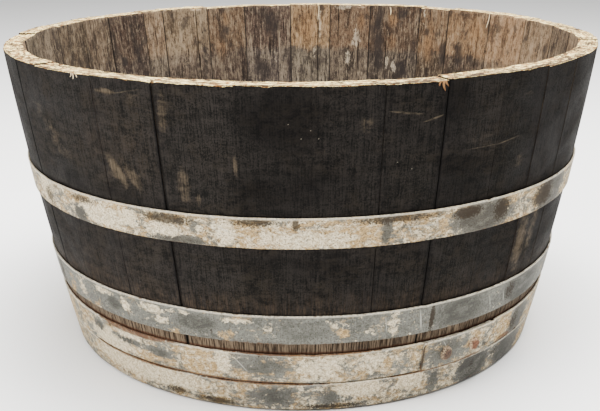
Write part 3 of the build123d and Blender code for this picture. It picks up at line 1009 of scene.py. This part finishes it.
def build_hoop(node):
    """One strip round the wall: dented, nicked at its edges, and stepped out over its own end."""
    low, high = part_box(node)[0].z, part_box(node)[1].z
    look = HOOP_LOOKS[node]
    radius = wall_radius((low + high) / 2)
    end_angle = math.radians(OUTER_ENDS[node])
    turn_length = math.tau * radius
    length = turn_length + LAP_LENGTH - INNER_END_GAP
    far_end = length - np.array([0.0028, 0.0012, 0.0004, 0])
    along = np.concatenate([
        [0, 0.0004, 0.0012, 0.0028], np.arange(0.005, length - 0.005, HOOP_STEP), far_end,
    ])
    seed = len(node)
    middle, half = (low + high) / 2, (high - low) / 2
    height, offset, top_edge = strip_rows(low, high)
    turn = (end_angle + along / radius)[:, None] + 0 * height
    height, offset, top_edge = (np.tile(row, (len(along), 1)) for row in (height, offset, top_edge))
    reach = np.minimum(along, length - along)[:, None]
    corner = rounded(reach, 0.003)
    points = stack(turn * radius, height)
    nicks = 0.00035 * rough(points, (0.035, 1, 1), seed, 3)
    hammered = 0.0006 * smooth(rough(points, (0.018, 1, 1), seed + 1), 0.55, 0.85) * (height > middle)
    shrink = 1 - (corner + abs(nicks) + hammered) / half
    squeezed = middle + (height - middle) * shrink
    lifted = LAP_OFFSET * smooth(-along, -LAP_LENGTH - JOGGLE_LENGTH, -LAP_LENGTH)[:, None]
    lifted = lifted + 0.0005 * smooth(-along, -0.018, 0)[:, None]
    dents = uneven(points, (0.060, 0.035, 1), 0.00045, seed + 2, 2)
    single = smooth(along, LAP_LENGTH, LAP_LENGTH + 0.04) * smooth(-along, -turn_length, 0.04 - turn_length)
    dents = dents * single[:, None]
    hugged = wall_radius(squeezed) + offset + lifted + dents
    rings = turned(hugged, turn, squeezed)
    first = OUTER_ENDS[node]
    piece = loft(f"{node}_strip", rings, [hoop_material(f"{node}_zinc", look, first)])
    layers = [look[key] for key in ("pale", "tan", "bare", "rust", "grime")]
    keep(
        piece,
        place=stack(turn * PLACE_RADIUS, height),
        patina=painted_layers(turn, height, layers[:3], first),
        decay=painted_layers(turn, height, [*layers[3:], []], first),
        edge=np.minimum(np.minimum(height - low, high - height), reach + 0 * height),
        top_edge=top_edge,
    )
    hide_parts(node)


# For each hoop's two rivets: how red their rust is and how worn they are, 0 to 1; worn also sets their pale
# rim, partly a painted highlight.
RIVET_WEAR_AND_HIGHLIGHT = {
    "head_hoop": ((0.5, 0.3), (0.8, 0.5)), "collet_hoop": ((0.15, 0.7), (0.9, 1.0)),
    "quarter_hoop": ((0.6, 0.4), (0.4, 0.2)), "bilge_hoop": ((0.3, 0.3), (0.7, 0.6)),
}
RIVET_HEAD_RADIUS = 0.0068
RIVET_HEAD_HEIGHT = 0.0046


def rivet_material():
    """Rusted iron: dark pits, orange bloom and a paler rim, rubbed and partly a painted highlight."""
    shader = Shader("rusted_rivet", roughness=0.8, specular=0.3)
    red, worn, height_up = shader.parts("wear")
    crust = shader.noise("grain", (1.8, 1.8, 1.8), 4, 0.7, 0.5)
    pits = shader.noise("grain", (0.7, 0.7, 0.7), 2, 0.7)
    bloom = crust.level(0.38, 0.62).between((74, 44, 28), (128, 82, 54))
    dark = crust.level(0.38, 0.62).between((40, 32, 27), (84, 66, 52))
    colour = shader.blend(red, dark, bloom)
    # The pale rim round the head's skirt: rubbed rust, and partly a painted highlight.
    rim = height_up.level(0.96, 0.55) * crust.level(0.42, 0.54)
    colour = colour.coat(rim * worn * 0.9, 196, 172, 140)
    colour = colour.coat(pits.level(0.58, 0.7, 0.0, 0.7), 34, 25, 20)
    return shader.finish(colour, height=crust + pits, depth=0.0006)


def build_rivets(node, material):
    """Two hammered rivet heads, no two the same shape, through a hoop's lap."""
    low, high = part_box(node)[0].z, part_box(node)[1].z
    middle = (low + high) / 2
    radius = wall_radius(middle)
    tilt = math.asin((middle - ARC_CENTRE_Z) / WALL_ARC_RADIUS)
    around = np.linspace(0, math.tau, 40, endpoint=False)
    spread = np.array([0.9, 1.0, 1.0, 0.94, 0.80, 0.60, 0.36, 0.14])
    rise = np.array([-0.4, -0.1, 0.25, 0.55, 0.80, 0.93, 1.0, 1.02])
    for number, distance in enumerate(RIVET_DISTANCES):
        turn = math.radians(OUTER_ENDS[node]) + distance / radius
        out = np.array([math.cos(turn) * math.cos(tilt), math.sin(turn) * math.cos(tilt), math.sin(tilt)])
        side = np.array([-math.sin(turn), math.cos(turn), 0])
        up = np.cross(out, side)
        foot = np.array([math.cos(turn) * radius, math.sin(turn) * radius, middle])
        foot = foot + out * (LAP_OFFSET + HOOP_THICKNESS + 0.0002)
        seed = 50 + 7 * number + len(node)
        wobble = 1 + 0.16 * rough(turned(1, around), (0.9, 0.9, 1), seed, 2)
        reach = RIVET_HEAD_RADIUS * spread[:, None] * wobble
        flat = np.stack([reach * np.cos(around), reach * np.sin(around) * 1.22], -1)
        lumps = rough(np.dstack([flat, 0 * reach]), (0.004, 0.004, 1), seed + 3, 3)
        lift = RIVET_HEAD_HEIGHT * (rise[:, None] + 0.14 * lumps * (rise[:, None] > 0))
        rings = foot + flat[..., :1] * side + flat[..., 1:] * up + lift[..., None] * out
        piece = loft(f"{node}_rivet_{number + 1}", rings, [material])
        red, worn = RIVET_WEAR_AND_HIGHLIGHT[node][number]
        fraction = np.clip(rise[:, None] + 0 * reach, 0, 1)
        keep(
            piece,
            grain=np.dstack([flat, lift]) + seed,
            wear=stack(red, worn, fraction),
        )
        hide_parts(f"{node}_rivets")


# ---- head ----------------------------------------------------------------------------------
HEAD_MIDDLE = (CROZE_LOW + CROZE_HIGH) / 2
HEAD_BEVEL = 0.022
HEAD_TONGUE = 0.004
HEAD_BEVEL_START = CROZE_RADIUS - HEAD_BEVEL - CROZE_DEPTH
TONGUE_RADIUS = wall_radius(CROZE_HIGH, STAVE_THICKNESS) - HEAD_TONGUE
BOARD_STEP = 0.0035
BOARD_GAP = 0.0003


def build_head_board(number, material):
    """One board of the head: planed, cupped a little, and bevelled to its tongue."""
    node = f"head_board_{number}"
    left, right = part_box(node)[0].x + BOARD_GAP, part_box(node)[1].x - BOARD_GAP
    steps = int((right - left) / BOARD_STEP)
    half_width = (right - left) / 2
    inner = np.linspace(left + 0.002, right - 0.002, steps)
    corners = np.array([0, 0.0003, 0.0010])
    x = np.concatenate([left + corners, inner, (right - corners)[::-1]])
    rim = CROZE_RADIUS - 0.0003
    half_length = np.sqrt(np.maximum(rim**2 - x**2, 0.003**2))
    fraction = np.sin(np.linspace(-1, 1, 140) * math.pi / 2)
    rows = np.concatenate([fraction, fraction[::-1]])
    upper = np.repeat([1.0, -1.0], len(fraction))
    y = half_length[:, None] * rows
    spread = np.hypot(x[:, None], y)
    tongue = (CROZE_HIGH - CROZE_LOW) / 2 - 0.0002
    half = np.interp(spread, [HEAD_BEVEL_START, TONGUE_RADIUS], [HEAD_THICKNESS / 2, tongue])
    across = x[:, None] - (left + right) / 2 + 0 * y
    edge = half_width - abs(across)
    grain = stack(across, y, upper * half) + (number * 0.613, 0, number * 0.291)
    flat = smooth(half, HEAD_THICKNESS / 2 - 0.004, HEAD_THICKNESS / 2)
    worn = rounded(edge, 0.0014) + uneven(grain, (0.016, 0.22, 0.05), 0.0007, 8, 3) * flat
    worn = worn + 0.0006 * flat * (1 - (across / half_width) ** 2)
    z = HEAD_MIDDLE + upper * np.maximum(half - worn, 0.001)
    rings = stack(x[:, None], y, z)
    piece = loft(f"{node}_oak", rings, [material])
    keep(piece, grain=grain, place=stack(x[:, None], y), edge=edge, reach=spread)
    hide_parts(node)


def dowel_material():
    """Pale turned oak, for the pegs between the head's boards."""
    shader = Shader("dowel_oak", roughness=0.8, specular=0.2)
    place = Value(shader, shader.add("TexCoord").outputs["Object"])
    fibres = shader.noise(place, (20, 1, 1), 3, 0.6)
    colour = fibres.level(0.4, 0.62).between((150, 116, 80), (206, 176, 136))
    return shader.finish(colour, height=fibres, depth=0.0003)


# ---- splinters -----------------------------------------------------------------------------
# Torn fibres on the rim: angle, top in mm, depth in the wall in mm, length, width, sideways lean.
PALE_SPLINTERS = [
    (231.7, 364, -0.5, 4.2, 1.4, -0.4), (232.1, 364, -0.7, 5.6, 1.7, 0.1),
    (232.6, 364, -0.4, 3.6, 1.5, 0.9), (34.4, 364, 25.6, 20, 2, 0.05), (64.8, 363, 25.4, 12, 2.2, -0.1),
    (84.9, 363, 25.3, 22, 1.8, 0.03),
]
ORANGE_SPLINTERS = [
    (290.9, 364, -0.4, 5, 2.4, -0.3), (291.3, 364, -0.8, 10, 2.8, 0.2), (291.7, 364, -0.5, 6, 2.2, 0.5),
]


def build_splinter(name, angle, top, depth, length, width, lean, material):
    """A flat, pointed blade of wood, still joined to its stave at the top."""
    along = np.linspace(0, 1, 12)
    around = np.linspace(0, math.tau, 8, endpoint=False)
    height = top * MM - along * length * MM
    outwards = 1 if depth < 0 else -1
    lifted = outwards * along**2 * 0.12 * length * MM
    radius = wall_radius(height) - depth * MM + lifted
    sway = lean * along * length * MM + 0.0004 * np.sin(along * 5 + angle)
    taper = np.sqrt(np.clip(1 - along**1.6, 0.002, 1)) * width * MM / 2
    turn = math.radians(angle) + (sway[:, None] + taper[:, None] * np.cos(around)) / RIM_RADIUS
    reach = radius[:, None] + 0.35 * taper[:, None] * np.sin(around)
    rings = turned(reach, turn, height[:, None])
    piece = loft(name, rings, [material])
    keep(piece, grain=rings, reach=along[:, None] + 0 * turn)


def build_splinters():
    """Every splinter, pale ones and orange ones."""
    pale = splinter_material("pale_splinter", tone(206, 184, 150), tone(238, 222, 184))
    orange = splinter_material("orange_splinter", tone(150, 112, 72), tone(84, 54, 32))
    for name, table, material in (("pale", PALE_SPLINTERS, pale), ("orange", ORANGE_SPLINTERS, orange)):
        for number, splinter in enumerate(table):
            build_splinter(f"{name}_splinter_{number + 1}", *splinter, material)


def build_metalwork():
    """The hoops with their rivets."""
    rust = rivet_material()
    for node in OUTER_ENDS:
        build_hoop(node)
        build_rivets(node, rust)


def build_head():
    """The head's boards, and a better material for the CAD dowels."""
    oak = head_material()
    for number in range(1, HEAD_BOARD_COUNT + 1):
        build_head_board(number, oak)
    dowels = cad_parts["head_dowels"].data.materials
    dowels.clear()
    dowels.append(dowel_material())


build_staves()
build_metalwork()
build_head()
build_splinters()


# ---- light, floor and camera ---------------------------------------------------------------
FLOOR_SIZE = 40
FLOOR_COLOUR = (250, 250, 249)
WORLD_STRENGTH = 0.55
LIGHT_TARGET = Vector((0, 0, 0.2))
# Place, size, power and colour of each soft light.
LIGHTS = {
    "key": ((-2.0, -1.5, 2.3), 2.0, 125, (1.0, 0.98, 0.95)),
    "top": ((0.3, 0.0, 2.5), 2.0, 310, (1.0, 0.99, 0.97)),
}


def build_floor():
    """A plain pale floor, which isn't part of the object."""
    bpy.ops.mesh.primitive_plane_add(size=FLOOR_SIZE)
    floor = bpy.context.object
    floor.name = "studio_floor"
    shader = Shader("studio_floor", roughness=0.9, specular=0.1)
    floor.data.materials.append(shader.finish(tone(*FLOOR_COLOUR)))


def build_light(name, place, size, power, colour):
    """A square, soft light that looks at the middle of the tub."""
    light = bpy.data.lights.new(name, "AREA")
    light.size = size
    light.energy = power
    light.color = colour
    lamp = bpy.data.objects.new(name, light)
    lamp.location = place
    lamp.rotation_euler = (LIGHT_TARGET - Vector(place)).to_track_quat("-Z", "Y").to_euler()
    bpy.context.collection.objects.link(lamp)


def build_world():
    """Even white light from all round."""
    world = bpy.data.worlds.new("studio")
    world.use_nodes = True
    background = world.node_tree.nodes["Background"]
    background.inputs["Color"].default_value = (1.0, 1.0, 1.0, 1)
    background.inputs["Strength"].default_value = WORLD_STRENGTH
    bpy.context.scene.world = world


CAMERA_PLACE = (0, -1.174, 0.5188)
CAMERA_PITCH = math.radians(18.117)
CAMERA_PAN = math.radians(-0.108)
CAMERA_ROLL = math.radians(-0.414)
CAMERA_LENS = 55.32


def build_camera():
    """The photograph's viewpoint."""
    camera = bpy.data.objects.new("camera", bpy.data.cameras.new("camera"))
    camera.data.lens = CAMERA_LENS
    camera.data.sensor_width = 36
    aim = Matrix.Rotation(-CAMERA_PAN, 4, "Z") @ Matrix.Rotation(math.pi / 2 - CAMERA_PITCH, 4, "X")
    camera.matrix_world = Matrix.Translation(CAMERA_PLACE) @ aim @ Matrix.Rotation(CAMERA_ROLL, 4, "Z")
    bpy.context.collection.objects.link(camera)
    bpy.context.scene.camera = camera


build_floor()
build_world()
for light_name, light_settings in LIGHTS.items():
    build_light(light_name, *light_settings)
build_camera()
